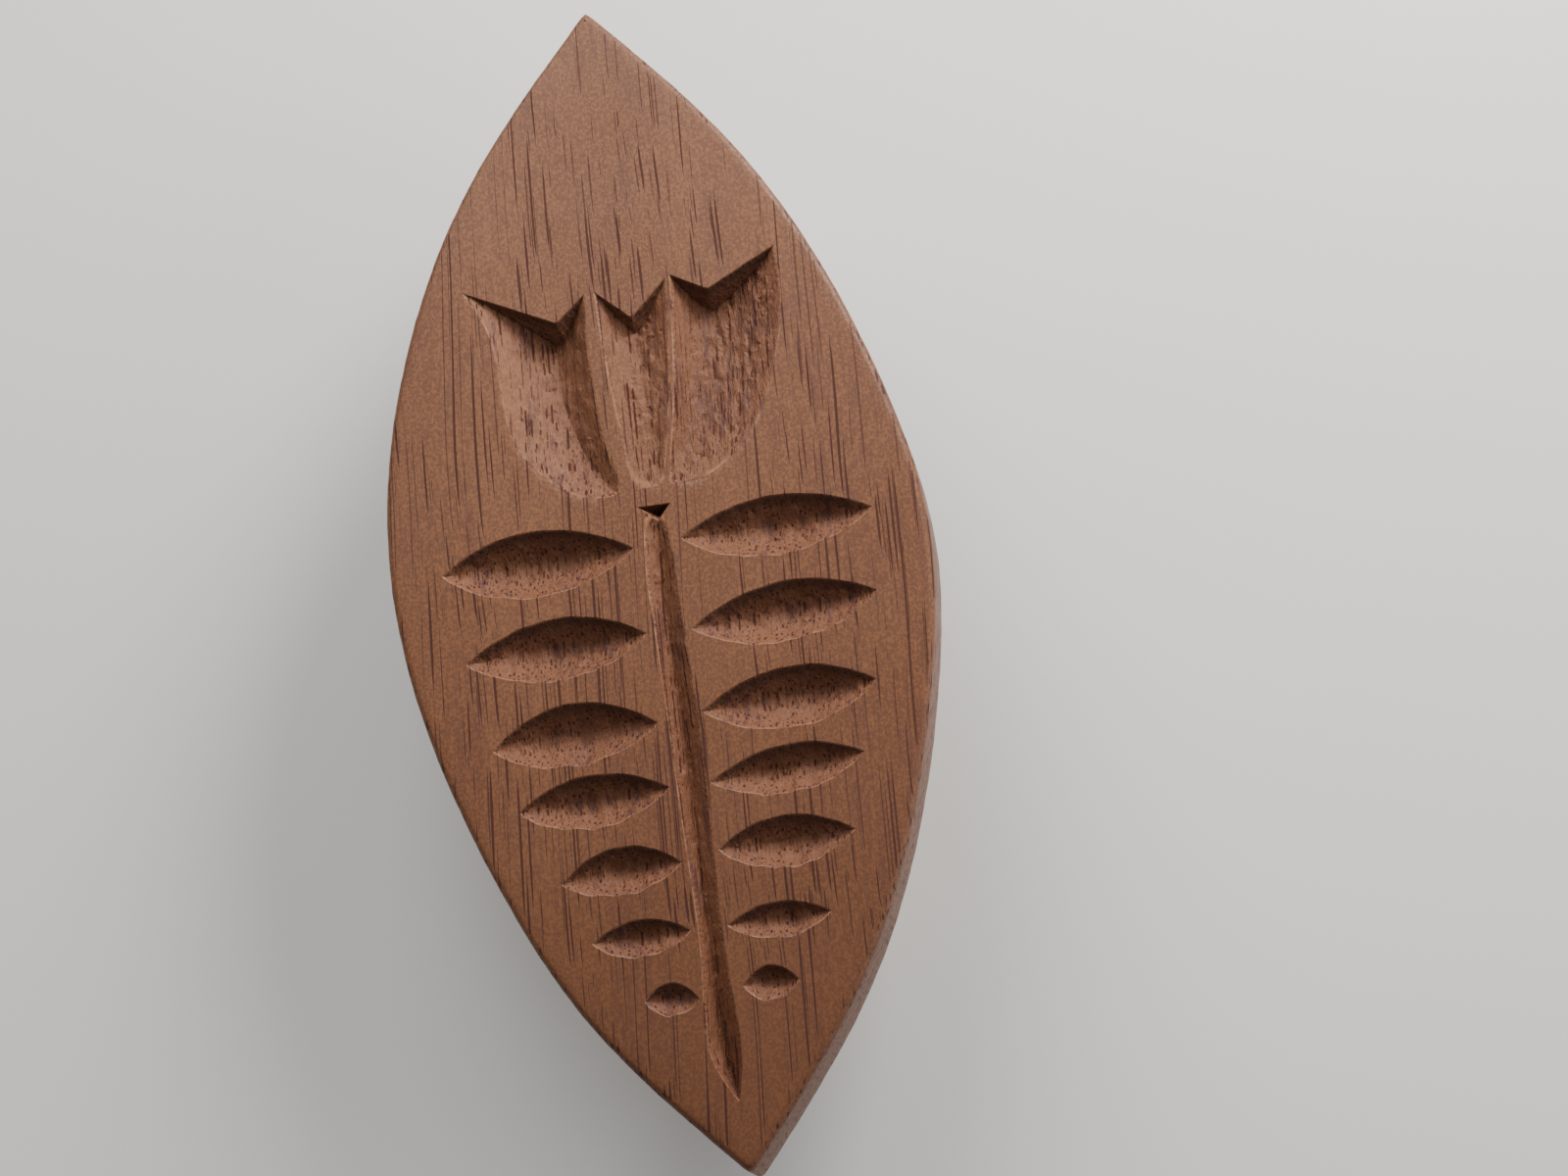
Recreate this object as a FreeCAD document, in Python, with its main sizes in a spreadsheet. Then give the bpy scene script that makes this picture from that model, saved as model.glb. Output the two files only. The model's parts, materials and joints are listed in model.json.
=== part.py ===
import FreeCAD
import Part
import Sketcher

import math
import os

# Carved leaf clothespin.  Millimetres.  X across the leaf, Y along it towards the
# tulip and the jaws, Z up through the thickness.  Z = 0 is the rear leg's outer
# face, and the middle of the leaf's long axis is at X = 0, Y = 0.

V = FreeCAD.Vector
doc = FreeCAD.newDocument("carved_leaf_clothespin")
sheet = doc.addObject("Spreadsheet::Sheet", "dims")
sheet.Label = "dims"

SIZES = [
    ("leaf_length", 80.0), ("leaf_thick", 5.0), ("edge_ease", 0.45),
    ("leg_width", 9.6), ("leg_thick", 6.2), ("jaw_gap", 0.1), ("glue_film", 0.15),
    ("jaw_tip_y", 33.0), ("handle_end_y", -25.0), ("coil_y", 4.0),
    ("line_y", 22.5), ("line_r", 2.4), ("groove_r", 3.25),
    ("hook_y", 14.5), ("notch_w", 2.0), ("notch_d", 1.85),
    ("nose_len", 6.0), ("nose_rise", 2.2), ("lead_in", 1.8), ("lead_depth", 0.8),
    ("heel_drop", 0.45), ("handle_drop", 3.2), ("handle_round", 1.6),
    ("wire_d", 1.6), ("coil_mean_r", 2.4), ("arm_x", 5.8), ("full_turns", 6.0),
    ("bend_r", 1.0), ("hook_reach", 3.6), ("wire_clear", 0.05),
    ("glue_half_w", 4.4), ("glue_a_lo", 16.2), ("glue_a_hi", 26.6),
    ("glue_b_lo", -22.4), ("glue_b_hi", 12.8),
    ("upper_slope", 48.0), ("lower_slope", 36.0), ("overcut", 0.02),
    ("slab_width", 60.0), ("slab_length", 100.0), ("slab_above", 1.0), ("slab_below", 4.0),
    ("bar_spare", 20.0),
    ("stem_top", 3.2), ("stem_foot", -35.4), ("foot_len", 2.6),
    ("stem_w_top", 2.4), ("stem_w_low", 1.9),
    ("stem_d_top", 1.15), ("stem_d_low", 0.95), ("stem_x_top", -0.1), ("stem_x_low", -0.45),
]
# How finely the spring's centreline is stepped, and how close counts as the same.
HOOK_STEPS = 4
BEND_STEPS = 6
ARM_STEPS = 5
TURN_STEPS = 24
PART_TURN_STEPS = 10
STRETCH_STEPS = 12
SAME_POINT = 1e-5
FLAT_WITHIN = 0.01
SIZE_RULES = [
    ("mid_z", "=leg_thick + jaw_gap / 2"),
    ("front_face", "=2 * leg_thick + jaw_gap"),
    ("leaf_back", "=front_face + glue_film"),
    ("leaf_top", "=leaf_back + leaf_thick"),
]

# Leaflet cuts: x and y of the stem end, x and y of the outer end, bulge of the
# steep upper wall's edge and of the gentle lower wall's edge.
LEAFLETS = [
    ("left_1", -1.9, 1.2, -14.7, 1.7, 2.1, 2.4),
    ("left_2", -1.9, -4.6, -13.9, -4.5, 2.0, 2.15),
    ("left_3", -1.9, -10.6, -12.8, -10.6, 2.2, 1.9),
    ("left_4", -1.7, -14.9, -11.6, -14.9, 1.65, 1.8),
    ("left_5", -1.6, -19.9, -9.5, -20.0, 1.75, 1.35),
    ("left_6", -1.6, -24.3, -8.0, -24.1, 1.15, 1.3),
    ("left_7", -1.7, -28.7, -5.1, -28.3, 1.1, 0.95),
    ("right_1", 1.3, 1.3, 14.1, 1.1, 1.8, 2.15),
    ("right_2", 1.2, -4.8, 13.5, -4.5, 1.85, 2.1),
    ("right_3", 1.1, -10.4, 12.5, -10.3, 1.85, 2.15),
    ("right_4", 1.0, -15.1, 11.1, -14.9, 1.5, 1.7),
    ("right_5", 0.9, -19.5, 9.8, -19.7, 1.55, 1.8),
    ("right_6", 0.8, -24.4, 7.5, -24.6, 1.05, 1.2),
    ("right_7", 1.1, -28.3, 4.8, -28.5, 1.15, 1.1),
]

# Outline and chip footprints: corners as (x, y), then the radius of the edge that
# leaves each corner, 0 for a straight one.  Every loop runs counter-clockwise.
LEAF_LOOP = [
    (0.0, 40.0, 63.0), (-14.5, 20.0, 44.0), (-16.6, -10.0, 70.0),
    (0.0, -40.0, 68.0), (16.2, -10.0, 36.0), (15.8, 10.0, 78.0),
]
TULIP = {
    "petal_left": [(-4.9, 17.75, 0), (-11.1, 21.2, 25.0), (-8.6, 9.8, 9.0),
                   (-2.2, 5.0, 0), (-2.75, 19.4, 0)],
    "petal_mid": [(0.2, 17.15, 0), (-2.2, 19.4, 0), (-1.6, 5.6, 0), (0.6, 5.1, 0),
                  (2.9, 19.6, 0)],
    "petal_right": [(5.55, 18.15, 0), (3.2, 19.6, 0), (1.3, 4.9, 9.0),
                    (8.3, 9.6, 26.0), (10.4, 20.3, 0)],
    "eye": [(-1.1, 3.75, 0), (-0.15, 2.95, 0), (0.95, 3.6, 0)],
}
CHIP_FLOOR = {
    "petal_left": (-5.0, 17.5, 2.1), "petal_mid": (0.25, 16.95, 1.7),
    "petal_right": (5.6, 17.95, 2.1), "eye": (-0.1, 3.55, 1.5),
}

row = 1
for alias, value in SIZES:
    sheet.set(f"A{row}", alias)
    sheet.set(f"B{row}", str(value))
    sheet.setAlias(f"B{row}", alias)
    row += 1
for name, inner_x, inner_y, outer_x, outer_y, up, low in LEAFLETS:
    for part, value in (("inner_x", inner_x), ("inner_y", inner_y), ("outer_x", outer_x),
                        ("outer_y", outer_y), ("up", up), ("low", low)):
        sheet.set(f"A{row}", f"{name}_{part}")
        sheet.set(f"B{row}", str(value))
        sheet.setAlias(f"B{row}", f"{name}_{part}")
        row += 1
for name, loop in [("outline", LEAF_LOOP)] + list(TULIP.items()):
    for index, corner in enumerate(loop):
        for part, value in zip(("x", "y", "r"), corner):
            sheet.set(f"A{row}", f"{name}_{part}_{index}")
            sheet.set(f"B{row}", str(value))
            sheet.setAlias(f"B{row}", f"{name}_{part}_{index}")
            row += 1
for name, floor in CHIP_FLOOR.items():
    for part, value in zip(("floor_x", "floor_y", "depth"), floor):
        sheet.set(f"A{row}", f"{name}_{part}")
        sheet.set(f"B{row}", str(value))
        sheet.setAlias(f"B{row}", f"{name}_{part}")
        row += 1
doc.recompute()
for alias, rule in SIZE_RULES:
    sheet.set(f"A{row}", alias)
    sheet.set(f"B{row}", rule)
    sheet.setAlias(f"B{row}", alias)
    doc.recompute()
    row += 1


def size(alias):
    return float(sheet.get(alias))


def bind(obj, prop, rule):
    obj.setExpression(prop, rule)


def arc_mid(start, end, radius):
    """Middle point of the arc that bulges to the right of start -> end."""
    chord = end.sub(start)
    half = chord.Length / 2
    rise = radius - math.sqrt(radius * radius - half * half)
    side = V(chord.y, -chord.x, 0).normalize()
    return start.add(chord.multiply(0.5)).add(side.multiply(rise))


def loop_sketch(name, corners):
    """Closed sketch; corners are (x, y, radius of the next edge, rule names)."""
    sketch = doc.addObject("Sketcher::SketchObject", name)
    count = len(corners)
    for index, (x, y, radius, rules) in enumerate(corners):
        nx, ny = corners[(index + 1) % count][:2]
        start, end = V(x, y, 0), V(nx, ny, 0)
        if radius:
            sketch.addGeometry(Part.Arc(start, arc_mid(start, end, radius), end), False)
        else:
            sketch.addGeometry(Part.LineSegment(start, end), False)
    heads = []
    for index, (x, y, radius, rules) in enumerate(corners):
        geo = sketch.Geometry[index]
        first = geo.StartPoint.distanceToPoint(V(x, y, 0)) < SAME_POINT
        heads.append((1, 2) if first else (2, 1))
    for index in range(count):
        after = (index + 1) % count
        sketch.addConstraint(Sketcher.Constraint(
            "Coincident", index, heads[index][1], after, heads[after][0]))
    for index, (x, y, radius, rules) in enumerate(corners):
        rule_x, rule_y, rule_r = rules
        head = heads[index][0]
        place = sketch.addConstraint(Sketcher.Constraint("DistanceX", -1, 1, index, head, x))
        bind(sketch, f"Constraints[{place}]", rule_x)
        place = sketch.addConstraint(Sketcher.Constraint("DistanceY", -1, 1, index, head, y))
        bind(sketch, f"Constraints[{place}]", rule_y)
        if radius:
            place = sketch.addConstraint(Sketcher.Constraint("Radius", index, radius))
            bind(sketch, f"Constraints[{place}]", rule_r)
    return sketch


def sheet_loop(name, loop):
    corners = []
    for index, (x, y, radius) in enumerate(loop):
        rules = tuple(f"dims.{name}_{part}_{index}" for part in ("x", "y", "r"))
        corners.append((x, y, radius, rules))
    return loop_sketch(name + "_loop", corners)


# Leaf blank: the outline pushed up by the thickness, with eased edges.
outline = sheet_loop("outline", LEAF_LOOP)
bind(outline, "Placement.Base.z", "dims.leaf_back")
blank = doc.addObject("Part::Extrusion", "leaf_blank")
blank.Base = outline
blank.DirMode = "Custom"
blank.Dir = V(0, 0, 1)
blank.Solid = True
bind(blank, "LengthFwd", "dims.leaf_thick")
doc.recompute()
eased = doc.addObject("Part::Fillet", "leaf_eased")
eased.Base = blank
ease = size("edge_ease")
rims = []
for index, edge in enumerate(blank.Shape.Edges):
    if edge.BoundBox.ZLength < FLAT_WITHIN:
        rims.append((index + 1, ease, ease))
eased.Edges = rims

cutters = []
# Leaflet cuts: where two leaning round bars cross, one for each wall, kept to a slab
# about the leaf's face.
slab = doc.addObject("Part::Box", "face_slab")
bind(slab, "Length", "dims.slab_width")
bind(slab, "Width", "dims.slab_length")
bind(slab, "Height", "dims.slab_above + dims.slab_below")
bind(slab, "Placement.Base.x", "-dims.slab_width / 2")
bind(slab, "Placement.Base.y", "-dims.slab_length / 2")
bind(slab, "Placement.Base.z", "dims.leaf_top - dims.slab_below")
for name, inner_x, inner_y, outer_x, outer_y, up, low in LEAFLETS:
    half = f"(sqrt((dims.{name}_outer_x - dims.{name}_inner_x)^2 + " \
           f"(dims.{name}_outer_y - dims.{name}_inner_y)^2) / 2)"
    turn = math.degrees(math.atan2(outer_y - inner_y, outer_x - inner_x))
    turn = (turn + 90) % 180 - 90
    walls = []
    for wall, sign in (("up", 1), ("low", -1)):
        lean = 90 - size("upper_slope" if wall == "up" else "lower_slope")
        slope = "upper_slope" if wall == "up" else "lower_slope"
        flat = f"(dims.{name}_{wall} * sin(dims.{slope} * 1deg))"
        bar = doc.addObject("Part::Cylinder", f"{name}_{wall}_bar")
        bind(bar, "Radius", f"({half}^2 + {flat}^2) / (2 * {flat})")
        bind(bar, "Height", f"2 * Radius * tan({lean} * 1deg) + dims.bar_spare * 1 mm")
        spin = FreeCAD.Rotation(V(0, 0, 1), turn)
        tilt = FreeCAD.Rotation(V(1, 0, 0), -sign * lean)
        doc.recompute()
        reach = bar.Radius.Value / math.cos(math.radians(lean)) - size(f"{name}_{wall}")
        middle = V((inner_x + outer_x) / 2, (inner_y + outer_y) / 2, size("leaf_top"))
        centre = middle.add(spin.multVec(V(0, -sign * reach, 0)))
        axis = spin.multiply(tilt).multVec(V(0, 0, 1))
        base = centre.sub(axis.multiply(bar.Height.Value / 2))
        bar.Placement = FreeCAD.Placement(base, spin.multiply(tilt))
        walls.append(bar)
    cut = doc.addObject("Part::MultiCommon", f"{name}_cut")
    cut.Shapes = walls + [slab]
    cutters.append(cut)

# Tulip petals and the eye: each a footprint that runs down to one deep point.
for name, loop in TULIP.items():
    sketch = sheet_loop(name, loop)
    bind(sketch, "Placement.Base.z", "dims.leaf_top + dims.overcut")
    floor = doc.addObject("Part::Vertex", f"{name}_floor")
    bind(floor, "X", f"dims.{name}_floor_x")
    bind(floor, "Y", f"dims.{name}_floor_y")
    bind(floor, "Z", f"dims.leaf_top - dims.{name}_depth")
    chip = doc.addObject("Part::Loft", f"{name}_cut")
    chip.Sections = [sketch, floor]
    chip.Solid = True
    chip.Ruled = True
    cutters.append(chip)

# Stem: a V groove with a pointed foot, drawn as triangles along its length.
stem_sections = []
for end, x_rule, y_rule, w_rule, d_rule in (
        ("top", "stem_x_top", "stem_top", "stem_w_top", "stem_d_top"),
        ("low", "stem_x_low", "stem_foot + dims.foot_len", "stem_w_low", "stem_d_low")):
    w, d = size(w_rule), size(d_rule)
    corners = [(-w / 2, 0.0, 0, (f"-dims.{w_rule} / 2", "0", "")),
               (0.0, -d, 0, ("0", f"-dims.{d_rule}", "")),
               (w / 2, 0.0, 0, (f"dims.{w_rule} / 2", "0", ""))]
    sketch = loop_sketch(f"stem_{end}", corners)
    sketch.Placement = FreeCAD.Placement(V(0, 0, 0), FreeCAD.Rotation(V(1, 0, 0), 90))
    bind(sketch, "Placement.Base.x", f"dims.{x_rule}")
    bind(sketch, "Placement.Base.y", f"dims.{y_rule}")
    bind(sketch, "Placement.Base.z", "dims.leaf_top + dims.overcut")
    stem_sections.append(sketch)
foot = doc.addObject("Part::Vertex", "stem_foot_point")
bind(foot, "X", "dims.stem_x_low")
bind(foot, "Y", "dims.stem_foot")
bind(foot, "Z", "dims.leaf_top + dims.overcut")
for label, pair in (("stem_cut", stem_sections), ("stem_end_cut", [stem_sections[1], foot])):
    groove = doc.addObject("Part::Loft", label)
    groove.Sections = pair
    groove.Solid = True
    groove.Ruled = True
    cutters.append(groove)
doc.recompute()

chips = doc.addObject("Part::MultiFuse", "carving")
chips.Shapes = cutters
leaf = doc.addObject("Part::Cut", "leaf_panel")
leaf.Base = eased
leaf.Tool = chips


def leg_profile():
    """Side view of one leg, jaws to the right; the inner face is on top."""
    t, mid = size("leg_thick"), size("mid_z")
    line_half = math.sqrt(size("line_r") ** 2 - (mid - t) ** 2)
    coil_half = math.sqrt(size("groove_r") ** 2 - (mid - t) ** 2)
    heel = size("heel_drop")
    heel_half = math.sqrt(size("groove_r") ** 2 - (mid - t + heel) ** 2)
    line_rule = "sqrt(dims.line_r^2 - (dims.mid_z - dims.leg_thick)^2)"
    heel_rule = "sqrt(dims.groove_r^2 - (dims.mid_z - dims.leg_thick + dims.heel_drop)^2)"
    coil_rule = "sqrt(dims.groove_r^2 - (dims.mid_z - dims.leg_thick)^2)"
    y_line, y_coil, y_tip = size("line_y"), size("coil_y"), size("jaw_tip_y")
    y_end, hook, nw, nd = size("handle_end_y"), size("hook_y"), size("notch_w"), size("notch_d")
    hr = size("handle_round")
    drop = size("handle_drop")
    return [
        (y_end + hr, 0, 0, ("dims.handle_end_y + dims.handle_round", "0", "")),
        (hook - nw / 2, 0, 0, ("dims.hook_y - dims.notch_w / 2", "0", "")),
        (hook - nw / 2, nd, 0, ("dims.hook_y - dims.notch_w / 2", "dims.notch_d", "")),
        (hook + nw / 2, nd, 0, ("dims.hook_y + dims.notch_w / 2", "dims.notch_d", "")),
        (hook + nw / 2, 0, 0, ("dims.hook_y + dims.notch_w / 2", "0", "")),
        (y_tip - size("nose_len"), 0, 0, ("dims.jaw_tip_y - dims.nose_len", "0", "")),
        (y_tip, size("nose_rise"), 0, ("dims.jaw_tip_y", "dims.nose_rise", "")),
        (y_tip, t - size("lead_depth"), 0,
         ("dims.jaw_tip_y", "dims.leg_thick - dims.lead_depth", "")),
        (y_tip - size("lead_in"), t, 0, ("dims.jaw_tip_y - dims.lead_in", "dims.leg_thick", "")),
        (y_line + line_half, t, -1, (f"dims.line_y + {line_rule}", "dims.leg_thick",
                                     "dims.line_r")),
        (y_line - line_half, t, 0, (f"dims.line_y - {line_rule}", "dims.leg_thick", "")),
        (y_coil + coil_half, t, -2, (f"dims.coil_y + {coil_rule}", "dims.leg_thick",
                                     "dims.groove_r")),
        (y_coil - heel_half, t - heel, 0, (f"dims.coil_y - {heel_rule}",
                                           "dims.leg_thick - dims.heel_drop", "")),
        (y_end, t - drop, 0, ("dims.handle_end_y", "dims.leg_thick - dims.handle_drop", "")),
        (y_end, hr, 0, ("dims.handle_end_y", "dims.handle_round", "")),
    ]


def leg_sketch(name):
    """Sketch of the leg, with the line and coil hollows as arcs about the middle plane."""
    profile = leg_profile()
    radii = {-1: (size("line_y"), size("line_r")), -2: (size("coil_y"), size("groove_r"))}
    mid = size("mid_z")
    sketch = doc.addObject("Sketcher::SketchObject", name)
    count = len(profile)
    for index, (x, y, kind, rules) in enumerate(profile):
        nx, ny = profile[(index + 1) % count][:2]
        if kind:
            centre, radius = radii[kind]
            edge = Part.Arc(V(nx, ny, 0), V(centre, mid - radius, 0), V(x, y, 0))
        else:
            edge = Part.LineSegment(V(x, y, 0), V(nx, ny, 0))
        sketch.addGeometry(edge, False)
    heads = []
    for index, (x, y, kind, rules) in enumerate(profile):
        first = sketch.Geometry[index].StartPoint.distanceToPoint(V(x, y, 0)) < SAME_POINT
        heads.append((1, 2) if first else (2, 1))
    for index in range(count):
        after = (index + 1) % count
        sketch.addConstraint(Sketcher.Constraint(
            "Coincident", index, heads[index][1], after, heads[after][0]))
    for index, (x, y, kind, rules) in enumerate(profile):
        head = heads[index][0]
        place = sketch.addConstraint(Sketcher.Constraint("DistanceX", -1, 1, index, head, x))
        bind(sketch, f"Constraints[{place}]", rules[0])
        place = sketch.addConstraint(Sketcher.Constraint("DistanceY", -1, 1, index, head, y))
        bind(sketch, f"Constraints[{place}]", rules[1])
        if kind:
            radius = radii[kind][1]
            place = sketch.addConstraint(Sketcher.Constraint("Radius", index, radius))
            bind(sketch, f"Constraints[{place}]", rules[2])
    return sketch


def leg(name, flipped):
    """One leg; the front leg is the same piece turned over about the middle plane."""
    sketch = leg_sketch(name + "_profile")
    stand = FreeCAD.Rotation(V(0, 1, 0), V(0, 0, 1), V(1, 0, 0), "XYZ")
    turn_over = FreeCAD.Rotation(V(0, 1, 0), 180)
    if flipped:
        sketch.Placement = FreeCAD.Placement(V(0, 0, 0), turn_over.multiply(stand))
        bind(sketch, "Placement.Base.z", "2 * dims.mid_z")
    else:
        sketch.Placement = FreeCAD.Placement(V(0, 0, 0), stand)
    piece = doc.addObject("Part::Extrusion", name)
    piece.Base = sketch
    piece.DirMode = "Custom"
    piece.Dir = V(1, 0, 0)
    piece.Symmetric = True
    piece.Solid = True
    bind(piece, "LengthFwd", "dims.leg_width")
    return piece


rear_leg = leg("rear_leg", False)
front_leg = leg("front_leg", True)


def glue(name, low, high):
    film = doc.addObject("Part::Box", name)
    bind(film, "Length", "2 * dims.glue_half_w")
    bind(film, "Width", f"dims.{high} - dims.{low}")
    bind(film, "Height", "dims.glue_film")
    bind(film, "Placement.Base.x", "-dims.glue_half_w")
    bind(film, "Placement.Base.y", f"dims.{low}")
    bind(film, "Placement.Base.z", "dims.front_face")
    return film


glue_upper = glue("glue_bed_upper", "glue_a_lo", "glue_a_hi")
glue_lower = glue("glue_bed_lower", "glue_b_lo", "glue_b_hi")


def across(share, run_in=0.05):
    """How far across the coil the wire has got; it leaves both ends square on."""
    if share > 0.5:
        return 1 - across(1 - share, run_in)
    slope = 1 / (1 - run_in)
    if share < run_in:
        return slope * share * share / (2 * run_in)
    return slope * (share - run_in / 2)


def spring_points():
    """Centreline of the wire, from the front leg's hook to the rear leg's hook."""
    r, mid, coil_y, arm_x = size("coil_mean_r"), size("mid_z"), size("coil_y"), size("arm_x")
    hook_y, bend, reach = size("hook_y"), size("bend_r"), size("hook_reach")
    rise = mid - (size("notch_d") - size("wire_d") / 2 - size("wire_clear"))
    run = hook_y - coil_y
    slant = math.atan2(rise, run) - math.asin(r / math.hypot(run, rise))
    start = math.pi / 2 + slant
    sweep = 2 * math.pi * size("full_turns") + math.pi - 2 * slant
    front = []
    corner = V(arm_x, hook_y, mid + rise)
    along = V(0, math.cos(slant), math.sin(slant))
    for step in range(HOOK_STEPS):
        share = step / HOOK_STEPS
        front.append(V(-reach + (arm_x - bend + reach) * share, hook_y, mid + rise))
    centre = corner.sub(along * bend).add(V(-bend, 0, 0))
    for step in range(BEND_STEPS + 1):
        angle = math.pi / 2 * step / BEND_STEPS
        front.append(centre.add(along * (bend * math.cos(angle)))
                     .add(V(bend * math.sin(angle), 0, 0)))
    tangent = V(arm_x, coil_y + r * math.cos(start), mid + r * math.sin(start))
    last = front[-1]
    for step in range(1, ARM_STEPS):
        front.append(last.add(tangent.sub(last) * (step / ARM_STEPS)))
    coil = []
    steps = int(size("full_turns")) * TURN_STEPS + PART_TURN_STEPS
    for step in range(steps + 1):
        share = step / steps
        angle = start + sweep * share
        coil.append(V(arm_x * (1 - 2 * across(share)), coil_y + r * math.cos(angle),
                      mid + r * math.sin(angle)))
    rear = [V(-p.x, p.y, 2 * mid - p.z) for p in reversed(front)]
    return front + coil + rear


path = doc.addObject("Part::Feature", "spring_path")
wire_points = spring_points()
curve = Part.BSplineCurve()
curve.interpolate(wire_points)
stops = list(range(0, len(wire_points) - 1, STRETCH_STEPS)) + [len(wire_points) - 1]
stretches = []
for first, last in zip(stops, stops[1:]):
    ends = curve.parameter(wire_points[first]), curve.parameter(wire_points[last])
    stretches.append(curve.toShape(*ends))
path.Shape = Part.Wire(stretches)
ring = doc.addObject("Sketcher::SketchObject", "wire_section")
ring.addGeometry(Part.Circle(V(0, 0, 0), V(0, 0, 1), size("wire_d") / 2), False)
ring.addConstraint(Sketcher.Constraint("Coincident", 0, 3, -1, 1))
place = ring.addConstraint(Sketcher.Constraint("Radius", 0, size("wire_d") / 2))
bind(ring, f"Constraints[{place}]", "dims.wire_d / 2")
ring.Placement = FreeCAD.Placement(wire_points[0], FreeCAD.Rotation(V(0, 1, 0), 90))
spring = doc.addObject("Part::Sweep", "torsion_spring")
spring.Sections = [ring]
spring.Spine = (path, [f"Edge{index + 1}" for index in range(len(stretches))])
spring.Solid = True
spring.Frenet = False
doc.recompute()

NODES = [leaf, glue_upper, glue_lower, front_leg, rear_leg, spring]
for obj in doc.Objects:
    if "Invalid" in obj.State or "Error" in obj.State:
        raise RuntimeError(f"{obj.Name}: {obj.State}")
os.makedirs("parts", exist_ok=True)
for node in NODES:
    node.Label = node.Name
    shape = node.Shape
    if not shape.isValid() or len(shape.Solids) != 1:
        raise RuntimeError(f"{node.Name} is not one valid solid: {len(shape.Solids)}")
    box = shape.BoundBox
    print(node.Name, round(shape.Volume, 2), [round(v, 3) for v in (
        box.XMin, box.XMax, box.YMin, box.YMax, box.ZMin, box.ZMax)])
    shape.exportStep(f"parts/{node.Name}.step")
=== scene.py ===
import json
import math

import bmesh
import bpy
import numpy as np
from mathutils import Matrix, Vector, geometry, noise


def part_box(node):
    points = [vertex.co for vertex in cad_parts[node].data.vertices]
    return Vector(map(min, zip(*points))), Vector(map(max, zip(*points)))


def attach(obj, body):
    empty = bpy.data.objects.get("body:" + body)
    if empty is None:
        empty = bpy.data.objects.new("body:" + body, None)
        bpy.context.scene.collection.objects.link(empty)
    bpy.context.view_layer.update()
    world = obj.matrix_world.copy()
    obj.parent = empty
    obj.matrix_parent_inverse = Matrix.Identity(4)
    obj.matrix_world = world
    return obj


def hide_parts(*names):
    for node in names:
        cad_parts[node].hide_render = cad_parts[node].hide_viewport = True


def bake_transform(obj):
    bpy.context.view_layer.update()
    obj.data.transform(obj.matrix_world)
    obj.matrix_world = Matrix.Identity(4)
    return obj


# Carved leaf clothespin.  Shapes are worked out in millimetres in the frame's axes
# (X across the leaf, Y towards the jaws, Z out of the carved face) and put into
# Blender's metres when a mesh is made.
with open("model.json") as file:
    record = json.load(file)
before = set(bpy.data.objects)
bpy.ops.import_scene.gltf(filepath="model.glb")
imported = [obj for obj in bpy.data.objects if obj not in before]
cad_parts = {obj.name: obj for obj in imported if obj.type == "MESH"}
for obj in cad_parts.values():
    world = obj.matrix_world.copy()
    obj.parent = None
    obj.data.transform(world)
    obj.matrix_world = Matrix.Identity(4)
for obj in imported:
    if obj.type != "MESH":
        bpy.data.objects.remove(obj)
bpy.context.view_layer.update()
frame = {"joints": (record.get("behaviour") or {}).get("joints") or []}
MM = 0.001
rng = np.random.default_rng(7)


def node_box(node):
    low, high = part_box(node)
    return [c / MM for c in low], [c / MM for c in high]


leaf_low, leaf_high = node_box("leaf_panel")
LEAF_BACK = leaf_low[2]
LEAF_TOP = leaf_high[2]
rear_low, rear_high = node_box("rear_leg")
front_low = node_box("front_leg")[0]
LEG_W = rear_high[0] - rear_low[0]
LEG_T = rear_high[2]
MID_Z = (rear_high[2] + front_low[2]) / 2
JAW_TIP = rear_high[1]
HANDLE_END = rear_low[1]
HINGE = [c / MM for c in frame["joints"][0]["pos_m"]]


# ---------------------------------------------------------------- mesh helpers

def new_object(name, verts, faces, smooth_angle=None):
    """Mesh object from millimetre points; edges sharper than the angle stay crisp."""
    mesh = bpy.data.meshes.new(name)
    mesh.from_pydata([tuple(c * MM for c in v) for v in verts], [], faces)
    mesh.validate()
    obj = bpy.data.objects.new(name, mesh)
    bpy.context.scene.collection.objects.link(obj)
    edit = bmesh.new()
    edit.from_mesh(mesh)
    bmesh.ops.recalc_face_normals(edit, faces=edit.faces)
    if smooth_angle is not None:
        for face in edit.faces:
            face.smooth = True
        for edge in edit.edges:
            if len(edge.link_faces) == 2:
                edge.smooth = edge.calc_face_angle(0.0) < smooth_angle
    edit.to_mesh(mesh)
    edit.free()
    return obj


def spline(stations, values):
    """Natural cubic through given stations, returned as a function of one array."""
    order = np.argsort(stations)
    xs = np.asarray(stations, float)[order]
    ys = np.asarray(values, float)[order]
    gap = np.diff(xs)
    size = len(xs)
    rows = np.zeros((size, size))
    right = np.zeros(size)
    rows[0, 0] = rows[-1, -1] = 1
    for i in range(1, size - 1):
        rows[i, i - 1:i + 2] = gap[i - 1], 2 * (gap[i - 1] + gap[i]), gap[i]
        right[i] = 6 * ((ys[i + 1] - ys[i]) / gap[i] - (ys[i] - ys[i - 1]) / gap[i - 1])
    bend = np.linalg.solve(rows, right)

    def value(at):
        at = np.clip(np.asarray(at, float), xs[0], xs[-1])
        k = np.clip(np.searchsorted(xs, at) - 1, 0, size - 2)
        a = (xs[k + 1] - at) / gap[k]
        b = 1 - a
        curve = ((a ** 3 - a) * bend[k] + (b ** 3 - b) * bend[k + 1]) * gap[k] ** 2 / 6
        return a * ys[k] + b * ys[k + 1] + curve
    return value


def run_along(points):
    """Distance along a flat polyline at each of its points."""
    return np.concatenate([[0], np.cumsum(np.hypot(*np.diff(points, axis=0).T))])


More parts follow.
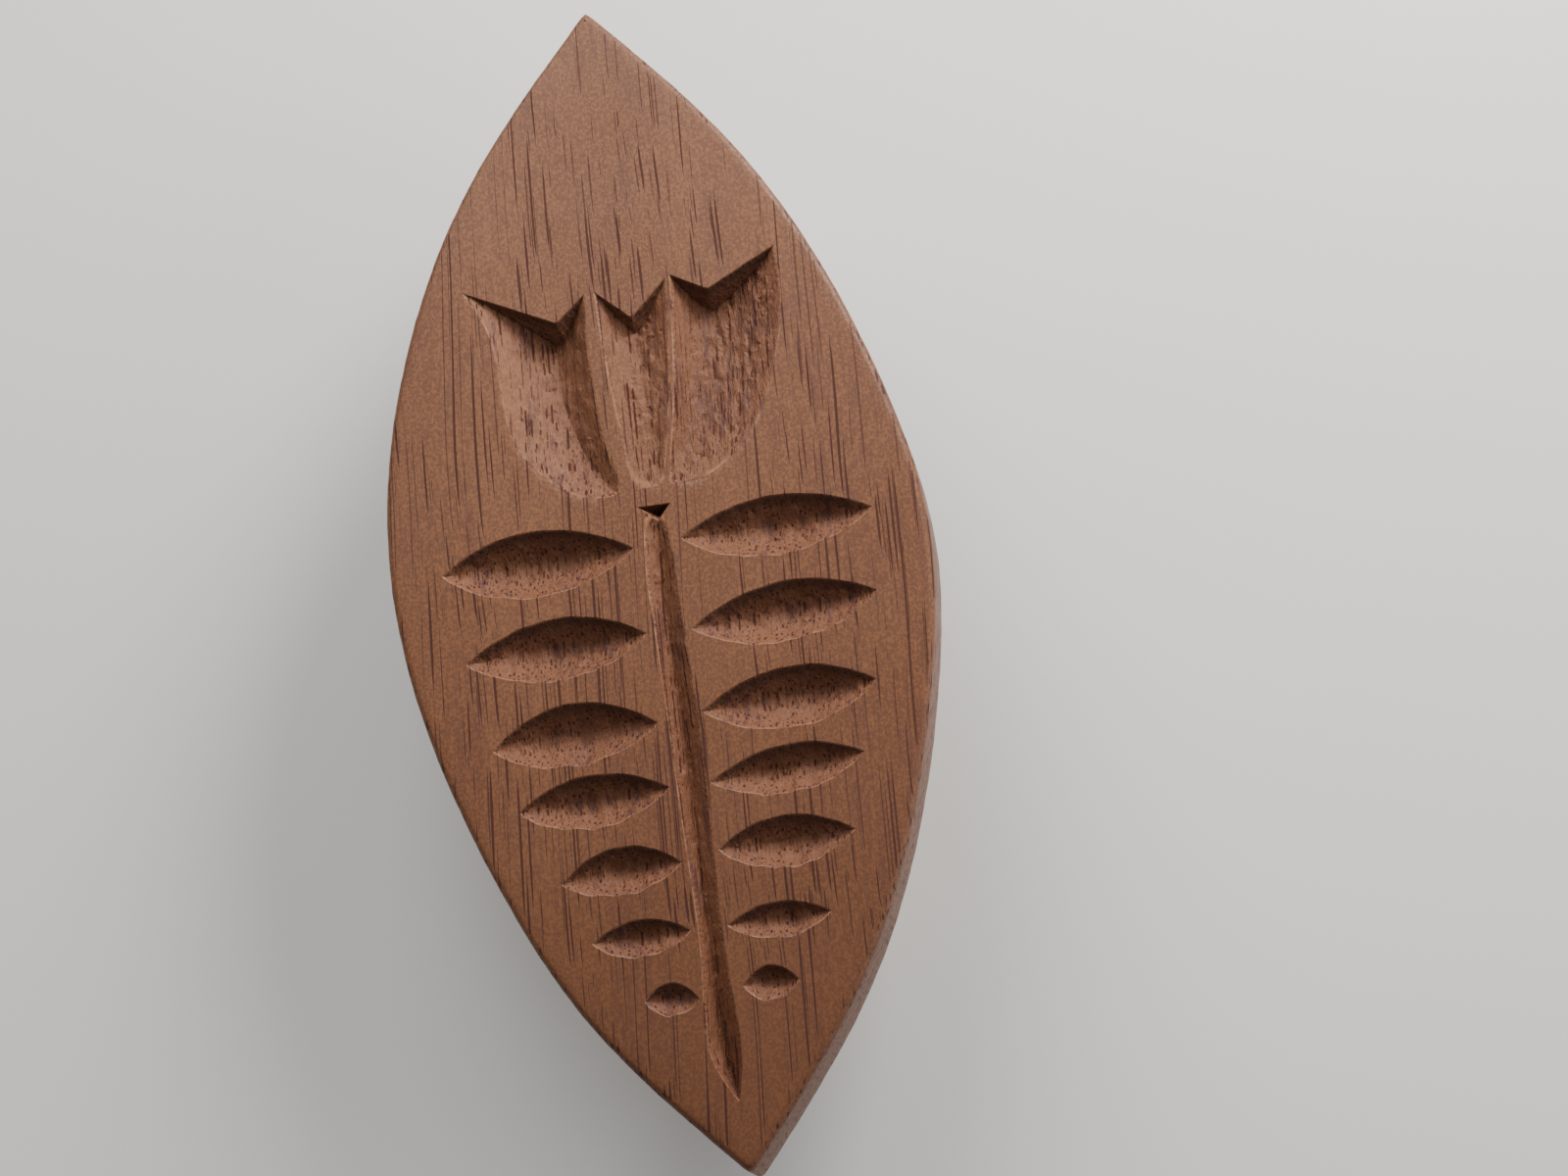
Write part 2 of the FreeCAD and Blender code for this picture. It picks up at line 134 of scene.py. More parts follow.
def resample(points, step):
    """Points along a polyline at even steps, ends kept."""
    points = np.asarray(points, float)
    run = run_along(points)
    count = max(2, int(round(run[-1] / step)) + 1)
    at = np.linspace(0, run[-1], count)
    return np.column_stack([np.interp(at, run, points[:, 0]), np.interp(at, run, points[:, 1])])


def tube_faces(rings, count):
    """Faces between rings of points, each ring joined to the next, both ends capped."""
    faces = []
    for ring in range(rings - 1):
        low, high = ring * count, (ring + 1) * count
        for i in range(count):
            j = (i + 1) % count
            faces.append((low + i, low + j, high + j, high + i))
    last = (rings - 1) * count
    return faces + [tuple(range(count)), tuple(range(last, last + count))]


def waver(seed, size, lengths):
    """Small smooth wander along a line, for cuts made by hand."""
    draw = np.random.default_rng(seed)
    waves = [(draw.uniform(0.6, 1.4) / span, draw.uniform(0, 2 * math.pi), draw.uniform(0.5, 1))
             for span in lengths]

    def value(at):
        total = sum(amp * np.sin(2 * math.pi * pitch * np.asarray(at) + phase)
                    for pitch, phase, amp in waves)
        return size * total / len(waves)
    return value


# ---------------------------------------------------------------- the leaf's outline

LEFT_EDGE = [(40, 0), (30, 8.9), (20, 14.5), (10, 17.55), (2, 18.3), (-10, 16.7),
             (-20, 13.4), (-30, 8.3), (-40, 0)]
RIGHT_EDGE = [(40, 0), (30, 7.6), (20, 12.75), (10, 15.95), (-1, 17.55), (-10, 16.3),
              (-20, 13.3), (-30, 8.2), (-40, 0)]
left_width = spline([y for y, w in LEFT_EDGE], [w for y, w in LEFT_EDGE])
right_width = spline([y for y, w in RIGHT_EDGE], [w for y, w in RIGHT_EDGE])
HALF_LENGTH = LEFT_EDGE[0][0]
WIDEST = 18.5
RIM_STEP = 0.4
RIM_DRAFT = 400
TIP_ROUND = 0.35
TIP_LEFT = 0.35 * TIP_ROUND


def outline():
    """Closed outline, counter-clockwise from the top tip, tips just blunted."""
    ys = HALF_LENGTH * np.cos(np.linspace(0, math.pi, RIM_DRAFT))
    left = np.column_stack([-left_width(ys), ys])
    right = np.column_stack([right_width(ys[::-1]), ys[::-1]])
    loop = np.vstack([left, right[1:]])
    keep = np.abs(loop[:, 1]) < HALF_LENGTH - TIP_ROUND
    left_part = loop[:RIM_DRAFT][keep[:RIM_DRAFT]]
    right_part = loop[RIM_DRAFT - 1:][keep[RIM_DRAFT - 1:]]
    top_tip = [[0, HALF_LENGTH - TIP_LEFT]]
    low_tip = [[0, TIP_LEFT - HALF_LENGTH]]
    loop = np.vstack([top_tip, left_part, low_tip, right_part, top_tip])
    return resample(loop, RIM_STEP)[:-1]


MITRE_FLOOR = 0.45


def inward(loop, distance):
    """The loop moved in by a distance along the mitre of its corners."""
    before = np.roll(loop, 1, axis=0)
    after = np.roll(loop, -1, axis=0)
    a = loop - before
    b = after - loop
    a /= np.hypot(*a.T)[:, None]
    b /= np.hypot(*b.T)[:, None]
    normal = np.column_stack([-(a + b)[:, 1], (a + b)[:, 0]])
    normal /= np.hypot(*normal.T)[:, None]
    stretch = 1 / np.maximum(MITRE_FLOOR, normal[:, 0] * -a[:, 1] + normal[:, 1] * a[:, 0])
    return loop + normal * (distance * stretch)[:, None]


# ---------------------------------------------------------------- the carving
# Every cut gives its creases, as polylines, and its depth at any point of the face.

class Leaflet:
    """One knife cut: a steep upper wall and a scooped lower wall between two tips."""

    WALL_SHARE = 0.40
    DEPTH_SHARE = 0.37
    WALL_BOW = 1.7
    SCOOP_BOW = 1.75
    UPPER_FULL = 0.96
    LOWER_FULL = 0.84
    FLOOR_WANDER = 0.3
    DEPTH_WANDER = 0.5

    def __init__(self, seed, inner, outer, up, low):
        self.start = np.array(inner, float)
        along = np.array(outer, float) - self.start
        self.length = np.hypot(*along)
        self.along = along / self.length
        self.across = np.array([-self.along[1], self.along[0]])
        if self.across[1] < 0:
            self.across = -self.across
        self.up = up
        self.low = low
        self.top_waver = waver(seed, 0.05, (2.2, 4.1))
        self.low_waver = waver(seed + 50, 0.13, (1.9, 4.3))
        self.floor_waver = waver(seed + 90, 0.12, (2.9, 5.0))
        self.skew = np.random.default_rng(seed).uniform(-0.08, 0.08)

    def arch(self, u, power):
        u = np.clip(u, 0, 1)
        lean = u + self.skew * u * (1 - u)
        return np.clip(4 * lean * (1 - lean), 0, 1) ** power

    def upper(self, u):
        return (self.up + self.top_waver(u * self.length)) * self.arch(u, self.UPPER_FULL)

    def lower(self, u):
        return -(self.low + self.low_waver(u * self.length)) * self.arch(u, self.LOWER_FULL)

    def floor(self, u):
        span = self.upper(u) - self.lower(u)
        share = self.WALL_SHARE + self.FLOOR_WANDER * self.floor_waver(u * self.length)
        return self.upper(u) - span * share

    def depth_line(self, u):
        span = self.upper(u) - self.lower(u)
        wander = self.floor_waver(u * self.length + 9)
        return self.DEPTH_SHARE * span * (1 + self.DEPTH_WANDER * wander)

    def place(self, u, v):
        return self.start + np.outer(u * self.length, self.along) + np.outer(v, self.across)

    def creases(self, step):
        u = np.linspace(0, 1, max(8, int(self.length / step)))
        return [self.place(u, self.upper(u)), self.place(u, self.lower(u)),
                self.place(u, self.floor(u))]

    def depth(self, points):
        local = points - self.start
        u = local @ self.along / self.length
        v = local @ self.across
        inside = (u > 0) & (u < 1)
        top, low, mid = self.upper(u), self.lower(u), self.floor(u)
        deep = self.depth_line(u)
        wall = np.clip((top - v) / np.maximum(top - mid, 1e-6), 0, 1)
        scoop = np.clip((v - low) / np.maximum(mid - low, 1e-6), 0, 1)
        shape_up = 1 - (1 - wall) ** self.WALL_BOW
        shape_low = 1 - (1 - scoop) ** self.SCOOP_BOW
        result = np.where(v >= mid, deep * shape_up, deep * shape_low)
        return np.where(inside & (v < top) & (v > low), result, 0)


class Flute:
    """A long groove between a left and a right edge; a top line, if any, stops it steeply."""

    WALL_SLOPE = 2.3
    LONGEST_WALL = 3.0
    WALL_TRIES = 160
    FLOOR_GAP = 0.3

    def __init__(self, left, floor, right, deep, bowl=(1.2, 1.2), top_line=None):
        self.left = flowing(left)
        self.floor = flowing(floor)
        self.right = flowing(right)
        self.deep = spline([y for y, d in deep], [d for y, d in deep])
        self.low_y = max(left[-1][1], right[-1][1], floor[-1][1])
        self.high_y = floor[0][1]
        self.bowl = bowl
        self.top_line = top_line

    def groove(self, points):
        """Depth of the open groove, as if it ran on past its top."""
        x, y = points[:, 0], points[:, 1]
        left, mid, right = at_y(self.left, y), at_y(self.floor, y), at_y(self.right, y)
        deep = self.deep(y)
        on_left = np.clip((x - left) / np.maximum(mid - left, 1e-6), 0, 1)
        on_right = np.clip((right - x) / np.maximum(right - mid, 1e-6), 0, 1)
        left_part = deep * (1 - (1 - on_left) ** self.bowl[0])
        right_part = deep * (1 - (1 - on_right) ** self.bowl[1])
        inside = (x > left) & (x < right) & (y > self.low_y)
        if self.top_line is None:
            inside &= y < self.high_y
        return np.where(inside, np.where(x < mid, left_part, right_part), 0)

    def wall(self, points):
        """Depth of the steep wall under the top line, two planes that meet in a crease."""
        gaps = []
        for (ax, ay), (bx, by) in zip(self.top_line, self.top_line[1:]):
            run = math.hypot(bx - ax, by - ay)
            gaps.append(((bx - ax) * (ay - points[:, 1]) + (by - ay) * (points[:, 0] - ax)) / run)
        return self.WALL_SLOPE * np.maximum(*gaps)

    def depth(self, points):
        deep = self.groove(points)
        if self.top_line is None:
            return deep
        return np.clip(np.minimum(deep, self.wall(points)), 0, None)

    def foot_line(self, step):
        """Where the steep wall meets the groove."""
        foot = []
        first, last = self.top_line[0], self.top_line[-1]
        tops = resample(self.top_line, step)
        for x, y in tops[1:-1]:
            ys = np.linspace(y, y - self.LONGEST_WALL, self.WALL_TRIES)
            line = np.column_stack([np.full(self.WALL_TRIES, x), ys])
            over = np.nonzero(self.wall(line) >= self.groove(line))[0]
            over = over[over > 0]
            if len(over):
                foot.append((x, ys[over[0]]))
        return np.array([first] + foot + [last])

    def creases(self, step):
        lines = []
        for curve in (self.left, self.right, self.floor):
            high = curve[0][1]
            ys = np.linspace(high, self.low_y, max(6, int((high - self.low_y) / step)))
            if self.top_line is not None and curve is self.floor:
                ys = ys[ys < self.top_line[1][1] - self.FLOOR_GAP]
            lines.append(np.column_stack([at_y(curve, ys), ys]))
        if self.top_line is not None:
            lines.append(resample(self.top_line, step))
            lines.append(self.foot_line(step))
        return lines


class Pit:
    """A small many-sided chip whose walls slope down to a point."""

    def __init__(self, corners, slopes):
        self.corners = [np.array(c, float) for c in corners]
        self.slopes = slopes

    def depth(self, points):
        walls = []
        for a, b, slope in zip(self.corners, self.corners[1:] + self.corners[:1], self.slopes):
            along = (b - a) / np.hypot(*(b - a))
            walls.append(slope * (along[0] * (points[:, 1] - a[1]) - along[1] * (points[:, 0] - a[0])))
        return np.clip(np.min(walls, axis=0), 0, None)

    def bottom(self):
        """The deepest point, found where the three walls are equally deep."""
        rows = []
        for a, b, slope in zip(self.corners, self.corners[1:] + self.corners[:1], self.slopes):
            along = (b - a) / np.hypot(*(b - a))
            rows.append((-slope * along[1], slope * along[0], -1,
                         -slope * (along[1] * a[0] - along[0] * a[1])))
        rows = np.array(rows)
        return np.linalg.solve(rows[:, :3], rows[:, 3])[:2]

    def creases(self, step):
        low = self.bottom()
        loop = self.corners + self.corners[:1]
        return [resample(loop, step)] + [resample([c, low], step) for c in self.corners]


FLOW_POINTS = 300


def flowing(points):
    """Smooth line through given points, as many close points."""
    points = np.asarray(points, float)
    run = run_along(points)
    fine = np.linspace(0, run[-1], FLOW_POINTS)
    return np.column_stack([spline(run, points[:, 0])(fine), spline(run, points[:, 1])(fine)])


def at_y(line, y):
    order = np.argsort(line[:, 1])
    return np.interp(y, line[order, 1], line[order, 0])


# Leaflets, from the tulip down: stem end, outer end, bulge above and below the chord.
LEAFLETS = [
    ((-1.75, 1.25), (-14.75, 1.75), 2.15, 2.4), ((-1.7, -4.6), (-13.9, -4.5), 2.05, 2.15),
    ((-1.75, -10.65), (-12.8, -10.6), 2.3, 1.9), ((-1.6, -14.95), (-11.6, -14.9), 1.7, 1.85),
    ((-1.5, -19.9), (-9.5, -20.0), 1.75, 1.4), ((-1.5, -24.3), (-8.0, -24.1), 1.15, 1.3),
    ((-1.6, -28.7), (-5.15, -28.3), 1.15, 1.0),
    ((1.35, 1.35), (14.1, 1.1), 1.85, 2.2), ((1.2, -4.85), (13.55, -4.5), 1.9, 2.15),
    ((1.1, -10.4), (12.6, -10.3), 1.9, 2.15), ((1.0, -15.1), (11.1, -14.85), 1.5, 1.7),
    ((0.9, -19.5), (9.8, -19.7), 1.6, 1.8), ((0.75, -24.4), (7.5, -24.6), 1.1, 1.25),
    ((1.2, -28.35), (4.85, -28.5), 1.15, 1.15),
]
PETALS = [
    Flute([(-11.1, 21.25), (-9.7, 18.2), (-9.3, 15.0), (-9.2, 11.8), (-8.7, 9.5), (-7.5, 7.6),
           (-6.0, 6.0), (-4.3, 5.1), (-2.4, 4.75)],
          [(-5.2, 19.5), (-5.45, 16.0), (-5.3, 12.5), (-4.3, 8.6), (-3.2, 6.3), (-2.35, 4.9)],
          [(-2.7, 19.5), (-2.95, 16.0), (-2.9, 12.5), (-2.6, 8.9), (-2.05, 5.2)],
          [(21.5, 2.1), (17, 2.15), (13, 1.7), (9, 1.15), (6.5, 0.7), (4.7, 0.0)],
          (1.25, 1.1), [(-11.1, 21.25), (-4.87, 17.75), (-2.75, 19.45)]),
    Flute([(-2.1, 19.5), (-2.0, 14.1), (-1.75, 9.6), (-1.55, 6.9), (-1.3, 5.3)],
          [(0.1, 19.5), (0.2, 16.0), (0.3, 13.0), (0.25, 9.5), (0.4, 6.7), (0.55, 5.1)],
          [(3.0, 19.65), (2.6, 15.5), (2.05, 11.0), (1.35, 7.5), (0.85, 5.2)],
          [(20, 1.35), (17, 1.3), (13, 0.8), (9, 0.5), (7, 0.35), (5.0, 0.0)],
          (1.5, 1.4), [(-2.1, 19.5), (0.2, 17.15), (3.0, 19.65)]),
    Flute([(3.15, 19.65), (2.75, 15.5), (2.2, 11.0), (1.65, 8.0), (1.15, 5.2)],
          [(5.6, 19.5), (5.3, 16.5), (4.75, 13.0), (3.7, 9.6), (2.5, 7.0), (1.5, 5.1)],
          [(10.45, 20.35), (10.5, 17.8), (10.15, 15.0), (9.2, 11.8), (8.2, 9.3), (6.7, 7.2),
           (5.1, 5.9), (3.4, 5.05), (1.6, 4.85)],
          [(21, 2.0), (17, 1.95), (13, 1.6), (9.5, 1.15), (7, 0.7), (4.8, 0.0)],
          (1.75, 1.6), [(3.15, 19.65), (5.55, 18.15), (10.45, 20.35)]),
]
STEM = Flute([(-0.85, 3.3), (-1.1, 1.3), (-1.25, -1.5), (-1.2, -5.0), (-1.2, -15.0), (-1.15, -20.0),
              (-1.35, -28.0), (-1.4, -32.6), (-0.1, -35.4)],
             [(0.0, 3.3), (-0.2, 1.0), (-0.35, -3.0), (-0.35, -12.0), (-0.5, -20.0),
              (-0.6, -28.0), (-0.4, -33.0), (-0.05, -35.4)],
             [(0.5, 3.3), (0.7, 1.4), (0.75, -2.0), (0.85, -8.0), (0.85, -15.0), (0.6, -20.0),
              (0.5, -28.0), (0.45, -33.4), (0.0, -35.4)],
             [(3.3, 0.0), (2.3, 0.45), (0.5, 0.75), (-3, 0.9), (-15, 1.1), (-28, 1.1),
              (-32.8, 1.4), (-34.3, 1.0), (-35.4, 0.0)], (1.1, 1.1))
EYE = Pit([(-1.2, 3.95), (0.1, 2.75), (1.05, 3.85)], (2.2, 2.4, 3.4))
CUTS = [Leaflet(11 * i + 3, *row) for i, row in enumerate(LEAFLETS)] + PETALS + [STEM, EYE]


# ---------------------------------------------------------------- the carved leaf

# How closely the face is divided: open face, cuts, and along the cuts' creases.
FACE_STEP = 0.5
CUT_STEP = 0.24
CREASE_STEP = 0.24
ROW_RISE = 0.866
JITTER = 0.03
CREASE_CLEAR = 0.11
BLOCK = 500
# The eased edges and the shape of the sanded face.
EASE = 0.5
EASE_STEPS = 5
GRID_MARGIN = 1.6 * EASE
BACK_EASE = 0.8 * EASE
BACK_STEPS = 4
BACK_RING = 1.2 * EASE
EDGE_NIBBLE = 0.025
CROWN = 0.14
SUNK = 0.05
SWELL_ALONG = 0.025
SWELL_ACROSS = 0.020
# Torn fibre in the cuts: height, pitch on each axis, and the depth where it is full.
TORN = 0.13
TORN_PITCH = (2.3, 0.8, 1.2)
TORN_FROM = 0.5
# Depths at which the material's two marks reach 1.
CUT_FULL = 0.12
HOLLOW_FULL = 2.2


def even_grid(step):
    """Points of a triangular grid over the face, kept clear of its edge."""
    found = []
    rows = np.arange(-HALF_LENGTH, HALF_LENGTH, step * ROW_RISE)
    for index, y in enumerate(rows):
        xs = np.arange(-WIDEST + (index % 2) * step / 2, WIDEST, step)
        inside = (xs > -left_width(y) + GRID_MARGIN) & (xs < right_width(y) - GRID_MARGIN)
        found.extend((x, y) for x in xs[inside])
    return np.array(found)


def face_points(inner_loop):
    """Points and crease edges for the carved face's triangulation."""
    points = [tuple(p) for p in inner_loop]
    count = len(points)
    edges = [(i, (i + 1) % count) for i in range(count)]
    taken = [inner_loop]
    for cut in CUTS:
        for line in cut.creases(CREASE_STEP):
            first = len(points)
            points.extend(tuple(p) for p in line)
            edges.extend((first + i, first + i + 1) for i in range(len(line) - 1))
            taken.append(np.asarray(line))
    taken = np.vstack(taken)
    coarse = even_grid(FACE_STEP)
    fine = even_grid(CUT_STEP)
    grid = np.vstack([coarse[carve_depth(coarse) == 0], fine[carve_depth(fine) > 0]])
    grid = grid + rng.uniform(-JITTER, JITTER, (len(grid), 2))
    clear = np.ones(len(grid), bool)
    for start in range(0, len(grid), BLOCK):
        block = grid[start:start + BLOCK]
        gap = np.hypot(block[:, None, 0] - taken[None, :, 0], block[:, None, 1] - taken[None, :, 1])
        clear[start:start + BLOCK] = gap.min(axis=1) > CREASE_CLEAR
    points.extend(tuple(p) for p in grid[clear])
    return points, edges, count


def carve_depth(points):
    return np.max([cut.depth(points) for cut in CUTS], axis=0)


def face_height(plan, deep):
    """Height of the face: crowned and a little uneven, then cut, with the fibre torn."""
    reach = np.where(plan[:, 0] < 0, left_width(plan[:, 1]), right_width(plan[:, 1]))
    side = np.clip(np.abs(plan[:, 0]) / np.maximum(reach, 0.5), 0, 1)
    swell = waver(5, SWELL_ALONG, (17.0, 9.0))(plan[:, 1])
    swell = swell + waver(6, SWELL_ACROSS, (11.0, 6.5))(plan[:, 0])
    places = np.column_stack([plan, deep]) * TORN_PITCH
    torn = TORN * np.array([noise.fractal(Vector(p), 0.5, 2.0, 3) for p in places])
    chatter = np.clip(deep / TORN_FROM, 0, 1) * torn
    return LEAF_TOP - SUNK - CROWN * side ** 3 + swell - deep + chatter


def side_levels(rim_z):
    """Inset and height of each ring from the face's edge, down the side, to the back."""
    levels = []
    for k in range(1, EASE_STEPS + 1):
        turn = k / EASE_STEPS * math.pi / 2
        levels.append((EASE * (1 - math.sin(turn)), rim_z - EASE * (1 - math.cos(turn))))
    for share in (0.25, 0.5, 0.75):
        levels.append((0.0, rim_z - EASE - share * (rim_z - LEAF_BACK - 2 * EASE)))
    flat = np.full(len(rim_z), LEAF_BACK)
    for k in range(BACK_STEPS + 1):
        turn = k / BACK_STEPS * math.pi / 2
        levels.append((BACK_EASE * (1 - math.cos(turn)),
                       flat + BACK_EASE * (1 - math.sin(turn))))
    return levels + [(BACK_RING, flat)]


def leaf_mesh():
    """The whole leaf: triangulated carved face, eased sides in rings, and a flat back."""
    loop = outline()
    points, edges, rim_count = face_points(inward(loop, EASE))
    flat, _, tris, origin, _, _ = geometry.delaunay_2d_cdt(
        [Vector(p) for p in points], edges, [], 1, 1e-5)
    where = {source: index for index, sources in enumerate(origin) for source in sources}
    plan = np.array([(p.x, p.y) for p in flat])
    deep = carve_depth(plan)
    verts = [(x, y, z) for (x, y), z in zip(plan, face_height(plan, deep))]
    faces = [tuple(t) for t in tris]

    previous = [where[i] for i in range(rim_count)]
    rim_z = np.array([verts[i][2] for i in previous])
    nibble = waver(9, EDGE_NIBBLE, (3.1, 7.7, 1.9))(np.arange(rim_count) * RIM_STEP)
    for inset, z in side_levels(rim_z):
        worn = 0.02 + nibble if inset < 0.9 * EASE else 0.0
        first = len(verts)
        verts.extend((x, y, h) for (x, y), h in zip(inward(loop, inset + worn), z))
        current = list(range(first, first + rim_count))
        for i in range(rim_count):
            j = (i + 1) % rim_count
            faces.append((previous[i], current[i], current[j], previous[j]))
        previous = current
    faces.append(tuple(previous))
    obj = new_object("carved_leaf", verts, faces, math.radians(24))

    # what the material reads: where the face is cut, and how deep the cut is
    for name, full in (("cut", CUT_FULL), ("hollow", HOLLOW_FULL)):
        mark = obj.data.attributes.new(name, "FLOAT", "POINT")
        shade = np.zeros(len(obj.data.vertices), np.float32)
        shade[:len(deep)] = np.clip(deep / full, 0, 1)
        mark.data.foreach_set("value", shade)
    return obj


# ---------------------------------------------------------------- the legs

COIL_Y = HINGE[1]
LINE_Y = 22.5
LINE_R = 2.4
GROOVE_R = 3.25
HOOK_Y = 14.5
NOTCH_W = 2.0
NOTCH_D = 1.85
NOSE_LEN = 6.0
NOSE_RISE = 2.2
LEAD_IN = 1.8
LEAD_DEPTH = 0.8
HEEL_DROP = 0.45
HANDLE_DROP = 3.2
HANDLE_ROUND = 1.6
LEG_EASE = 0.22
LEG_EASE_STEPS = 4
FACE_RING = 0.05
CORNER = 0.5
SHARP = math.radians(20)
ARC_STEP = 0.25


def hollow_arc(centre, radius, left_drop=0.0):
    """Round hollow about the middle plane, from its right end to its left end."""
    first = -math.asin((MID_Z - LEG_T) / radius)
    last = -math.pi + math.asin((MID_Z - LEG_T + left_drop) / radius)
    count = max(8, int(radius * (first - last) / ARC_STEP))
    return [(centre + radius * math.cos(a), MID_Z + radius * math.sin(a))
            for a in np.linspace(first, last, count)]


def leg_side():
    """Side view of one leg as (y, z), the inner face on top, corners softened."""
    corners = [
        (HANDLE_END + HANDLE_ROUND, 0), (HOOK_Y - NOTCH_W / 2, 0),
        (HOOK_Y - NOTCH_W / 2, NOTCH_D), (HOOK_Y + NOTCH_W / 2, NOTCH_D),
        (HOOK_Y + NOTCH_W / 2, 0), (JAW_TIP - NOSE_LEN, 0), (JAW_TIP, NOSE_RISE),
        (JAW_TIP, LEG_T - LEAD_DEPTH), (JAW_TIP - LEAD_IN, LEG_T),
        *hollow_arc(LINE_Y, LINE_R), *hollow_arc(COIL_Y, GROOVE_R, HEEL_DROP),
        (HANDLE_END, LEG_T - HANDLE_DROP), (HANDLE_END, HANDLE_ROUND)]
    return soften(corners, CORNER)


def soften(corners, radius):
    """Rounds every sharp corner of a closed loop with a short curve."""
    points = np.array(corners + corners[:1], float)
    run = run_along(points)
    total = run[-1]
    heading = [Vector(b - a) for a, b in zip(points, points[1:])]
    sharp = [i for i in range(len(corners))
             if heading[i - 1].angle(heading[i]) > SHARP]

    def along(at):
        at = at % total
        return Vector((np.interp(at, run, points[:, 0]), np.interp(at, run, points[:, 1])))

    def apart(a, b):
        gap = abs(run[a] - run[b])
        return min(gap, total - gap)

    loop = []
    for i in range(len(corners)):
        if i not in sharp:
            if all(apart(i, j) > radius for j in sharp):
                loop.append(along(run[i]))
            continue
        cut = min([radius] + [0.45 * apart(i, j) for j in sharp if j != i])
        start, here, end = along(run[i] - cut), Vector(points[i]), along(run[i] + cut)
        for t in (0, 0.2, 0.4, 0.6, 0.8, 1):
            loop.append(start * (1 - t) ** 2 + here * (2 * t * (1 - t)) + end * t * t)
    return np.array([tuple(p) for p in loop])


def leg_mesh(name, turned_over):
    """One leg as rings from its right side to its left; the front leg is turned over."""
    loop = leg_side()
    half = LEG_W / 2
    rings = [(LEG_EASE + FACE_RING, half)]
    for k in range(LEG_EASE_STEPS + 1):
        turn = k / LEG_EASE_STEPS * math.pi / 2
        rings.append((LEG_EASE * (1 - math.sin(turn)), half - LEG_EASE * (1 - math.cos(turn))))
    middle = [(0.0, x) for x in np.linspace(half - LEG_EASE, 0, 5)[1:-1]]
    rings = rings + middle + [(0.0, 0.0)] + [(i, -x) for i, x in reversed(rings + middle)]
    verts = []
    for inset, x in rings:
        for y, z in inward(loop, inset):
            verts.append((x, y, 2 * MID_Z - z) if turned_over else (x, y, z))
    return new_object(name, verts, tube_faces(len(rings), len(loop)), math.radians(30))


# ---------------------------------------------------------------- the spring

WIRE_R = 0.8
COIL_R = 2.4
ARM_X = 5.8
TURNS = 6
BEND_R = 1.0
HOOK_REACH = 3.6
WIRE_CLEAR = 0.05
WIRE_SIDES = 18
CHAMFER = 0.18
STRAIGHT_STEPS = 12
BEND_STEPS = 12
STEPS_A_TURN = 40


def across(share, run_in=0.05):
    """How far across the coil the wire has got; it leaves both ends square on."""
    if share > 0.5:
        return 1 - across(1 - share, run_in)
    slope = 1 / (1 - run_in)
    if share < run_in:
        return slope * share * share / (2 * run_in)
    return slope * (share - run_in / 2)


def wire_line():
    """Centreline of the wire, from the front leg's hook to the rear leg's hook."""
    rise = MID_Z - (NOTCH_D - WIRE_R - WIRE_CLEAR)
    run = HOOK_Y - COIL_Y
    slant = math.atan2(rise, run) - math.asin(COIL_R / math.hypot(run, rise))
    start = math.pi / 2 + slant
    sweep = 2 * math.pi * TURNS + math.pi - 2 * slant
    along = np.array([0, math.cos(slant), math.sin(slant)])
    side = np.array([1.0, 0, 0])
    corner = np.array([ARM_X, HOOK_Y, MID_Z + rise])
    front = [np.array([x, HOOK_Y, MID_Z + rise])
             for x in np.linspace(-HOOK_REACH, ARM_X - BEND_R, STRAIGHT_STEPS)[:-1]]
    centre = corner - along * BEND_R - side * BEND_R
    front += [centre + BEND_R * (along * math.cos(a) + side * math.sin(a))
              for a in np.linspace(0, math.pi / 2, BEND_STEPS + 1)]
    tangent = np.array([ARM_X, COIL_Y + COIL_R * math.cos(start),
                        MID_Z + COIL_R * math.sin(start)])
    front += [front[-1] + (tangent - front[-1]) * t
              for t in np.linspace(0, 1, STRAIGHT_STEPS)[1:-1]]
    steps = round(STEPS_A_TURN * (TURNS + 0.4))
    coil = [np.array([ARM_X * (1 - 2 * across(t)), COIL_Y + COIL_R * math.cos(start + sweep * t),
                      MID_Z + COIL_R * math.sin(start + sweep * t)])
            for t in np.linspace(0, 1, steps + 1)]
    rear = [np.array([-p[0], p[1], 2 * MID_Z - p[2]]) for p in reversed(front)]
    return front + coil + rear


